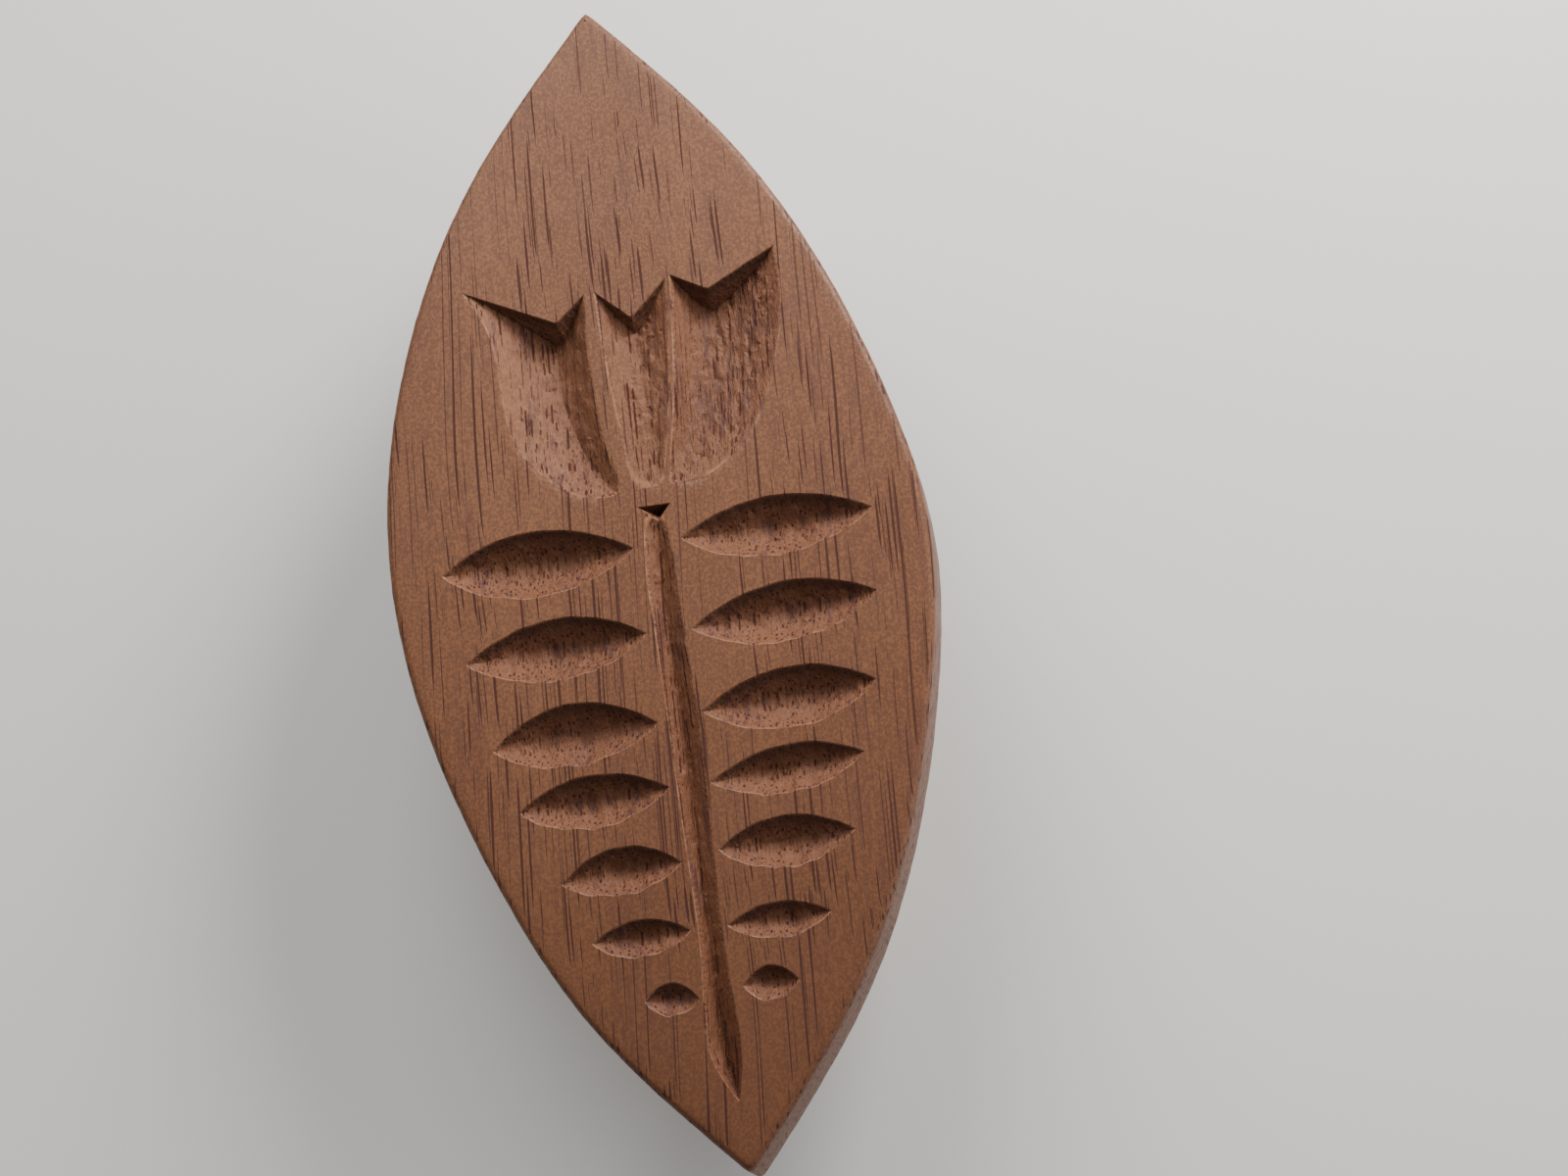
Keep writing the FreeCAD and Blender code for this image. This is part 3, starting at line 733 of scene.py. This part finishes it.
def spring_mesh():
    """Round wire along the line, its cut ends slightly chamfered."""
    line = np.array(wire_line())
    ahead = np.gradient(line, axis=0)
    ahead /= np.linalg.norm(ahead, axis=1)[:, None]
    run = np.concatenate([[0], np.cumsum(np.linalg.norm(np.diff(line, axis=0), axis=1))])
    stations = [(line[0], ahead[0], WIRE_R - CHAMFER, run[0])]
    stations += [(line[0] + ahead[0] * CHAMFER, ahead[0], WIRE_R, run[0] + CHAMFER)]
    stations += [(p, d, WIRE_R, r) for p, d, r in zip(line[1:-1], ahead[1:-1], run[1:-1])]
    stations += [(line[-1] - ahead[-1] * CHAMFER, ahead[-1], WIRE_R, run[-1] - CHAMFER)]
    stations += [(line[-1], ahead[-1], WIRE_R - CHAMFER, run[-1])]
    verts, marks = [], []
    up = np.array([0, 0, 1.0])
    for centre, heading, radius, far in stations:
        up = up - heading * (up @ heading)
        up /= np.linalg.norm(up)
        left = np.cross(heading, up)
        for k in range(WIRE_SIDES):
            angle = 2 * math.pi * k / WIRE_SIDES
            verts.append(centre + radius * (up * math.cos(angle) + left * math.sin(angle)))
            marks.append((math.cos(angle), math.sin(angle), far))
    faces = tube_faces(len(stations), WIRE_SIDES)
    obj = new_object("torsion_spring_wire", verts, faces, math.radians(28))
    drawn = obj.data.attributes.new("drawn", "FLOAT_VECTOR", "POINT")
    drawn.data.foreach_set("vector", np.array(marks, np.float32).ravel())
    return obj


# ---------------------------------------------------------------- the dried glue

GLUE_STEP = 0.3
GLUE_END = 1.2
BEAD_RIGHT = 0.34
BEAD_LEFT = 0.30
LEAST_BEAD = 0.03
BEAD_WAVER = 0.13
SKIN = 0.01
# The bead's section from the leaf down to the leg: out from the leg's side and down
# from the leaf, both in shares of the bead's width.
BEAD = [(1.0, 0.0), (0.8, 0.4), (0.35, 0.85)]


def glue_side(width, top, low):
    """Half section of the film from its middle out to the bead and back, as (x, z)."""
    edge = LEG_W / 2
    hold = edge - 0.5
    return [(hold, top), *((edge + out * width, top - faces_away_from_light * width) for out, faces_away_from_light in BEAD),
            (edge - 0.03, top - width - 0.1), (edge - 0.25, low), (hold, low)]


def glue_mesh(name, node, seed):
    """Thin film under a leg's flat, with a wavy bead squeezed out along both sides."""
    low, high = node_box(node)
    bead = waver(seed, BEAD_WAVER, (2.3, 5.1, 9.0))
    verts = []
    ys = np.linspace(low[1], high[1], int((high[1] - low[1]) / GLUE_STEP) + 1)
    for y in ys:
        near_end = min(1.0, min(y - low[1], high[1] - y) / GLUE_END)
        fade = math.sqrt(max(near_end, 0.0))
        right, left = (glue_side(max(LEAST_BEAD, width + float(bead(y + shift))) * fade,
                                 LEAF_BACK - SKIN, low[2] + 2 * SKIN)
                       for width, shift in ((BEAD_RIGHT, 0), (BEAD_LEFT, HALF_LENGTH)))
        section = right + [(-x, z) for x, z in reversed(left)]
        verts.extend((x, y, z) for x, z in section)
    return new_object(name, verts, tube_faces(len(ys), len(section)), math.radians(50))


# ---------------------------------------------------------------- materials

class Nodes:
    """Short hands for building a node material."""

    def __init__(self, name):
        self.material = bpy.data.materials.new(name)
        self.material.use_nodes = True
        self.tree = self.material.node_tree
        self.tree.nodes.clear()
        self.shader = self.tree.nodes.new("ShaderNodeBsdfPrincipled")
        output = self.tree.nodes.new("ShaderNodeOutputMaterial")
        self.link(self.shader.outputs[0], output.inputs[0])

    def link(self, a, b):
        self.tree.links.new(a, b)

    def feed(self, socket, value):
        if isinstance(value, (int, float)):
            socket.default_value = value
        elif isinstance(value, tuple):
            socket.default_value = value if len(value) == len(socket.default_value) \
                else (*value, 1.0)
        else:
            self.link(value, socket)

    def math(self, op, a, b=0.0, c=None):
        node = self.tree.nodes.new("ShaderNodeMath")
        node.operation = op
        for socket, value in zip(node.inputs, (a, b, c)):
            if value is not None:
                self.feed(socket, value)
        return node.outputs[0]

    def both(self, *masks):
        """Product of masks or shares."""
        result = masks[0]
        for mask in masks[1:]:
            result = self.math("MULTIPLY", result, mask)
        return result

    def step(self, value, low, high):
        """0 below low, 1 above high, smooth between; low may be above high."""
        node = self.tree.nodes.new("ShaderNodeMapRange")
        node.interpolation_type = "SMOOTHSTEP"
        self.feed(node.inputs[0], value)
        if low < high:
            ends = (low, high, 0.0, 1.0)
        else:
            ends = (high, low, 1.0, 0.0)
        for socket, end in zip(list(node.inputs)[1:5], ends):
            socket.default_value = end
        return node.outputs[0]

    def place(self, turn=0.0, stretch=(1, 1, 1), source=None):
        """Object coordinates in millimetres, turned about Z, then stretched."""
        if source is None:
            coords = self.tree.nodes.new("ShaderNodeTexCoord").outputs["Object"]
            scale = self.tree.nodes.new("ShaderNodeMapping")
            scale.inputs["Scale"].default_value = (1 / MM,) * 3
            scale.inputs["Rotation"].default_value = (0, 0, turn)
            self.link(coords, scale.inputs[0])
            source = scale.outputs[0]
        node = self.tree.nodes.new("ShaderNodeMapping")
        node.inputs["Scale"].default_value = stretch
        self.link(source, node.inputs[0])
        return node.outputs[0]

    def noise(self, coords, detail=2.0, rough=0.5, twist=0.0):
        node = self.tree.nodes.new("ShaderNodeTexNoise")
        self.link(coords, node.inputs["Vector"])
        node.inputs["Scale"].default_value = 1.0
        node.inputs["Detail"].default_value = detail
        node.inputs["Roughness"].default_value = rough
        node.inputs["Distortion"].default_value = twist
        return node.outputs["Fac"]

    def cells(self, coords, scale=1.0, flat=False):
        """Distance to the nearest scattered point, and that point's own random value."""
        node = self.tree.nodes.new("ShaderNodeTexVoronoi")
        node.voronoi_dimensions = "2D" if flat else "3D"
        self.link(coords, node.inputs["Vector"])
        node.inputs["Scale"].default_value = scale
        split = self.tree.nodes.new("ShaderNodeSeparateColor")
        self.link(node.outputs["Color"], split.inputs[0])
        return node.outputs["Distance"], split.outputs[0]

    def mix(self, factor, a, b):
        node = self.tree.nodes.new("ShaderNodeMix")
        node.data_type = "RGBA"
        self.feed(node.inputs[0], factor)
        self.feed(node.inputs[6], a)
        self.feed(node.inputs[7], b)
        return node.outputs[2]

    def tint(self, colour, mask, share, paint):
        """The colour, taken a share of the way to the paint where the mask is 1."""
        return self.mix(self.both(mask, share), colour, paint)

    def facing_along(self):
        """How far the surface faces up the leaf (1) or down it (-1)."""
        normal = self.tree.nodes.new("ShaderNodeTexCoord").outputs["Normal"]
        return self.parts(normal)[1]

    def parts(self, vector):
        node = self.tree.nodes.new("ShaderNodeSeparateXYZ")
        self.link(vector, node.inputs[0])
        return node.outputs

    def vector_math(self, op, *values):
        node = self.tree.nodes.new("ShaderNodeVectorMath")
        node.operation = op
        for socket, value in zip(node.inputs, values):
            self.feed(socket, value)
        return node.outputs[0]

    def mark(self, name):
        node = self.tree.nodes.new("ShaderNodeAttribute")
        node.attribute_name = name
        return node.outputs["Fac"]

    def bump(self, height, strength, distance, below=None):
        node = self.tree.nodes.new("ShaderNodeBump")
        node.inputs["Strength"].default_value = strength
        node.inputs["Distance"].default_value = distance * MM
        self.feed(node.inputs["Height"], height)
        if below is not None:
            self.link(below, node.inputs["Normal"])
        return node.outputs[0]

    def finish(self, colour, rough, normal=None, **constants):
        self.feed(self.shader.inputs["Base Color"], colour)
        self.feed(self.shader.inputs["Roughness"], rough)
        if normal is not None:
            self.link(normal, self.shader.inputs["Normal"])
        for name, value in constants.items():
            self.shader.inputs[name.replace("_", " ")].default_value = value
        return self.material


# Layers of vessels: spacing, widest radius, and the share of places left empty.
VESSELS = ((0.34, 0.080, 0.08), (0.24, 0.056, 0.25))
GRAIN_LEAN = math.radians(2.8)
GRAIN_DIVE = 0.021


def vessels(n, base, grain):
    """Mask of the open pores.

    They are tubes that run almost along the grain, so a flat face cuts them into long
    thin streaks and a wall across the grain cuts them into dots.
    """
    across, along, into = n.parts(grain)
    weave = n.noise(n.place(source=base, stretch=(0.3, 0.03, 0.3)), detail=2.0)
    sink = n.math("ADD", n.math("MULTIPLY_ADD", along, GRAIN_DIVE, into), n.both(weave, 0.8))
    pores = None
    for cell, widest, fewest in VESSELS:
        section = n.tree.nodes.new("ShaderNodeCombineXYZ")
        n.link(across, section.inputs[0])
        n.link(sink, section.inputs[1])
        far, pick = n.cells(section.outputs[0], 1 / cell, flat=True)
        radius = n.both(n.step(pick, fewest, 1.0), widest / cell)
        edge = n.math("SUBTRACT", far, radius)
        layer = n.both(n.step(edge, 0.05, -0.05), n.step(pick, fewest, fewest + 0.08))
        pores = layer if pores is None else n.math("MAXIMUM", pores, n.both(layer, 0.7))
    return pores


def mahogany():
    n = Nodes("carved_mahogany")
    base = n.place(GRAIN_LEAN)
    drift = n.noise(n.place(source=base, stretch=(0.11, 0.03, 0.11)), detail=1.0)
    grain = n.vector_math("MULTIPLY_ADD", drift, (2.4, 0.0, 1.2), base)
    across, along, _ = n.parts(grain)
    pores = vessels(n, base, grain)

    # broad tone, ribbons, fibre and the sanded surface's fine mottle
    tone = n.noise(n.place(source=grain, stretch=(0.09, 0.018, 0.09)), detail=3.0)
    ribbon = n.noise(n.place(source=grain, stretch=(0.8, 0.04, 0.8)), detail=3.0, rough=0.6)
    fibre = n.noise(n.place(source=grain, stretch=(7.0, 0.45, 7.0)), detail=3.0, rough=0.6)
    mottle = n.noise(n.place(source=base, stretch=(5.5, 4.4, 5.5)), detail=2.0, rough=0.6)

    colour = n.mix(n.step(tone, 0.32, 0.68), (0.150, 0.054, 0.022), (0.198, 0.077, 0.033))
    colour = n.tint(colour, n.step(ribbon, 0.45, 0.75), 0.45, (0.135, 0.045, 0.021))
    colour = n.tint(colour, n.step(fibre, 0.35, 0.7), 0.35, (0.25, 0.100, 0.042))
    colour = n.tint(colour, n.step(mottle, 0.46, 0.64), 0.55, (0.105, 0.044, 0.023))
    colour = n.tint(colour, n.step(mottle, 0.52, 0.36), 0.40, (0.30, 0.125, 0.050))
    # painted shade: darker towards the blank's lower end, where the light falls off
    colour = n.tint(colour, n.step(along, 5.0, -42.0), 0.5, (0.100, 0.033, 0.013))
    # fresh cuts are a little redder and cleaner than the rubbed face
    cut = n.mark("cut")
    colour = n.tint(colour, cut, 0.38, (0.225, 0.084, 0.040))
    # painted light on the tulip's left petal, which faces the light; its right petals are cut into the
    # dark heart
    tulip = n.both(n.step(along, 3.8, 5.5), cut)
    painted_light_petal = n.both(n.step(across, -3.0, -5.5), tulip)
    colour = n.tint(colour, painted_light_petal, 0.30, (0.33, 0.150, 0.080))
    core = n.both(n.step(across, 0.1, 0.9), tulip, n.step(along, 6.0, 9.0))
    # purple-brown heart streaks, strongest where the cuts lay the deeper wood bare
    streaky = n.noise(n.place(source=grain, stretch=(2.4, 0.16, 2.4)), detail=3.0, rough=0.65)
    patch = n.noise(n.place(source=grain, stretch=(0.34, 0.13, 0.34)), detail=1.0)
    flank = n.math("MAXIMUM", n.step(across, 9.0, 12.5), n.step(across, -12.0, -16.0))
    flank = n.math("MAXIMUM", flank, core)
    patch = n.math("MAXIMUM", n.step(patch, 0.44, 0.60), n.both(flank, 0.8))
    heart = n.both(n.step(streaky, 0.46, 0.66), patch)
    reach = n.math("MULTIPLY_ADD", cut, 0.55, 0.28)
    colour = n.tint(colour, heart, reach, (0.075, 0.024, 0.024))
    # painted shade on the cut walls that face down the leaf, away from the light
    faces_away_from_light = n.step(n.facing_along(), -0.35, -0.85)
    colour = n.tint(colour, n.both(faces_away_from_light, cut), 0.12, (0.055, 0.019, 0.010))
    # painted shadow in a thin line under the top edge of the walls that face away from the light, and
    # torn fibre leaves short dark splits
    hollow = n.mark("hollow")
    painted_rim_shadow = n.both(n.step(hollow, 0.02, 0.08), n.step(hollow, 0.50, 0.12))
    colour = n.tint(colour, n.both(faces_away_from_light, painted_rim_shadow), 0.7, (0.040, 0.014, 0.008))
    tear = n.noise(n.place(source=grain, stretch=(3.6, 0.75, 2.0)), detail=2.0, rough=0.6)
    splits = n.both(n.step(tear, 0.55, 0.66), n.step(hollow, 0.25, 0.6))
    colour = n.tint(colour, splits, 0.6, (0.060, 0.019, 0.013))
    gather = n.noise(n.place(source=grain, stretch=(0.5, 0.06, 0.5)), detail=2.0)
    pore_tint = n.mix(gather, (0.040, 0.007, 0.003), (0.072, 0.016, 0.008))
    colour = n.tint(colour, pores, 0.95, pore_tint)
    # painted shade in the cuts, darker the deeper they go
    colour = n.tint(colour, hollow, 0.25, (0.10, 0.037, 0.018))
    # a thin pale line along every cut's edge: painted highlight where the edge catches the light, and
    # the lifted fibre there
    pale_fibre_and_highlight = n.both(n.step(hollow, 0.003, 0.012), n.step(hollow, 0.055, 0.025))
    patchy = n.step(n.noise(n.place(stretch=(0.9, 0.9, 0.9)), detail=2.0), 0.40, 0.58)
    colour = n.tint(colour, n.both(pale_fibre_and_highlight, patchy), 0.45, (0.46, 0.21, 0.10))

    normal = n.bump(n.math("SUBTRACT", 1.0, pores), 0.55, 0.09)
    normal = n.bump(fibre, 0.35, 0.03, normal)
    normal = n.bump(mottle, 0.25, 0.03, normal)
    torn = n.noise(n.place(source=grain, stretch=(4.6, 1.1, 3.0)), detail=3.0, rough=0.65)
    normal = n.bump(n.both(torn, cut), 0.8, 0.20, normal)
    rough = n.math("ADD", 0.42, n.both(mottle, 0.14))
    rough = n.math("ADD", rough, n.both(cut, 0.16))
    rough = n.math("ADD", rough, n.both(pores, 0.25))
    return n.finish(colour, rough, normal, Specular_IOR_Level=0.38)


def beech(name, shift):
    n = Nodes(name)
    grain = n.vector_math("ADD", n.place(), shift)
    rings = n.noise(n.place(source=grain, stretch=(0.55, 0.016, 0.8)), detail=3.0, twist=0.4)
    fibre = n.noise(n.place(source=grain, stretch=(6.0, 0.22, 6.0)), detail=4.0, rough=0.62)
    far, pick = n.cells(n.place(source=grain, stretch=(2.6, 0.75, 2.6)))
    fleck = n.both(n.step(far, 0.30, 0.18), n.step(pick, 0.35, 0.6))
    soil = n.noise(n.place(source=grain, stretch=(0.16, 0.09, 0.16)), detail=3.0)
    colour = n.mix(n.step(rings, 0.36, 0.66), (0.62, 0.44, 0.265), (0.50, 0.33, 0.19))
    colour = n.tint(colour, n.step(fibre, 0.42, 0.72), 0.45, (0.40, 0.25, 0.14))
    colour = n.tint(colour, fleck, 0.42, (0.34, 0.19, 0.10))
    colour = n.tint(colour, n.step(soil, 0.52, 0.74), 0.30, (0.36, 0.25, 0.16))
    ends = n.step(n.math("ABSOLUTE", n.facing_along()), 0.55, 0.95)
    colour = n.tint(colour, ends, 0.45, (0.33, 0.20, 0.11))
    # fine plane ripple across the long faces
    ripple = n.noise(n.place(source=grain, stretch=(0.12, 1.5, 0.12)), detail=1.0)
    normal = n.bump(fibre, 0.35, 0.03)
    normal = n.bump(ripple, 0.25, 0.02, normal)
    normal = n.bump(n.math("SUBTRACT", 1.0, fleck), 0.2, 0.02, normal)
    rough = n.math("ADD", 0.50, n.both(fibre, 0.22))
    return n.finish(colour, rough, normal, Specular_IOR_Level=0.4)


def drawn_wire():
    n = Nodes("drawn_steel_wire")
    mark = n.tree.nodes.new("ShaderNodeAttribute")
    mark.attribute_name = "drawn"
    vector = mark.outputs["Vector"]
    lines = n.noise(n.place(source=vector, stretch=(9.0, 9.0, 0.12)), detail=3.0, rough=0.7)
    bloom = n.noise(n.place(stretch=(0.9, 0.9, 0.9)), detail=3.0)
    spots = n.noise(n.place(stretch=(4.5, 4.5, 4.5)), detail=2.0)
    colour = n.mix(lines, (0.50, 0.50, 0.50), (0.66, 0.655, 0.64))
    colour = n.tint(colour, n.step(bloom, 0.5, 0.75), 0.45, (0.36, 0.345, 0.32))
    colour = n.tint(colour, n.step(spots, 0.66, 0.76), 0.5, (0.21, 0.15, 0.10))
    rough = n.math("ADD", 0.20, n.both(lines, 0.26))
    normal = n.bump(lines, 0.3, 0.01)
    return n.finish(colour, rough, normal, Metallic=1.0)


def dried_glue():
    n = Nodes("dried_wood_glue")
    cloud = n.noise(n.place(stretch=(1.1, 0.6, 1.1)), detail=3.0)
    grit = n.noise(n.place(stretch=(6.0, 6.0, 6.0)), detail=2.0)
    colour = n.mix(cloud, (0.52, 0.34, 0.14), (0.70, 0.53, 0.28))
    colour = n.tint(colour, n.step(grit, 0.55, 0.7), 0.35, (0.36, 0.22, 0.10))
    normal = n.bump(cloud, 0.4, 0.08)
    normal = n.bump(grit, 0.2, 0.02, normal)
    rough = n.math("ADD", 0.22, n.both(grit, 0.25))
    return n.finish(colour, rough, normal, Specular_IOR_Level=0.5)


def floor_material():
    n = Nodes("plain_floor")
    shade = n.noise(n.place(stretch=(0.02, 0.02, 0.02)), detail=2.0)
    colour = n.mix(shade, (0.80, 0.79, 0.775), (0.84, 0.83, 0.815))
    return n.finish(colour, 0.9, None, Specular_IOR_Level=0.15)


# ---------------------------------------------------------------- pieces

leaf = leaf_mesh()
leaf.data.materials.append(mahogany())
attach(leaf, "front")
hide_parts("leaf_panel")

for name, node, body, turned_over, shift in (
        ("front_leg_wood", "front_leg", "front", True, (3.1, 17.0, 5.3)),
        ("rear_leg_wood", "rear_leg", "rear", False, (41.0, -23.0, 11.7))):
    leg = leg_mesh(name, turned_over)
    leg.data.materials.append(beech(name, shift))
    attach(leg, body)
    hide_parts(node)

glue_finish = dried_glue()
for name, node, seed in (("glue_squeeze_upper", "glue_bed_upper", 21),
                         ("glue_squeeze_lower", "glue_bed_lower", 34)):
    glue = glue_mesh(name, node, seed)
    glue.data.materials.append(glue_finish)
    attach(glue, "front")
    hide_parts(node)

# The coil winds up between the legs, a hook on each leg; the wire is one fixed piece,
# attached to neither body.
spring = spring_mesh()
spring.data.materials.append(drawn_wire())
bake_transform(spring)
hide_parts("torsion_spring")


# ---------------------------------------------------------------- floor, lights, camera

FLOOR_SIZE = 3000
floor = new_object("floor", [(-FLOOR_SIZE, -FLOOR_SIZE, 0), (FLOOR_SIZE, -FLOOR_SIZE, 0),
                             (FLOOR_SIZE, FLOOR_SIZE, 0), (-FLOOR_SIZE, FLOOR_SIZE, 0)],
                   [(0, 1, 2, 3)])
floor.data.materials.append(floor_material())


def area_light(name, place, target, size, power, colour):
    """Round soft light at a place, turned to its target."""
    light = bpy.data.lights.new(name, "AREA")
    light.shape = "DISK"
    light.size = size * MM
    light.energy = power
    light.color = colour
    obj = bpy.data.objects.new(name, light)
    bpy.context.scene.collection.objects.link(obj)
    place = Vector(place) * MM
    turn = (Vector(target) * MM - place).to_track_quat("-Z", "Y")
    obj.matrix_world = Matrix.Translation(place) @ turn.to_matrix().to_4x4()


area_light("window", (110, 125, 108), (0, 8, LEAF_TOP), 80, 0.45, (1.0, 0.98, 0.95))
area_light("high_panel", (-35, 190, 170), (0, 10, LEAF_TOP), 180, 0.46, (1.0, 0.99, 0.97))
area_light("side_panel", (270, -70, 120), (0, -10, 8), 220, 0.28, (1.0, 0.99, 0.97))

ROOM_GREY = 0.90
ROOM_LIGHT = 0.29
world = bpy.data.worlds.new("soft_room")
bpy.context.scene.world = world
world.use_nodes = True
background = world.node_tree.nodes["Background"]
background.inputs["Color"].default_value = (ROOM_GREY, ROOM_GREY, ROOM_GREY, 1)
background.inputs["Strength"].default_value = ROOM_LIGHT

# The photographed view: almost square on to the carved face, from the lower right.
TILT = math.radians(17.0)
TURN = math.radians(20.4)
ROLL = math.radians(8.74)
DISTANCE = 203.0
AIM = Vector((7.6, -3.3, LEAF_TOP))
away = Vector((math.sin(TURN) * math.sin(TILT), -math.cos(TURN) * math.sin(TILT), math.cos(TILT)))
camera_data = bpy.data.cameras.new("camera")
camera_data.sensor_width = 36
camera_data.lens = 72
camera_data.clip_start = 0.005
camera_data.clip_end = 20
camera = bpy.data.objects.new("camera", camera_data)
bpy.context.scene.collection.objects.link(camera)
upright = Vector((0, 1, 0))
up = (upright - upright.dot(away) * away).normalized()
right = up.cross(away)
frame_axes = Matrix((right, up, away)).transposed().to_4x4()
camera.matrix_world = Matrix.Translation((AIM + DISTANCE * away) * MM) @ frame_axes \
    @ Matrix.Rotation(-ROLL, 4, "Z")
bpy.context.scene.camera = camera
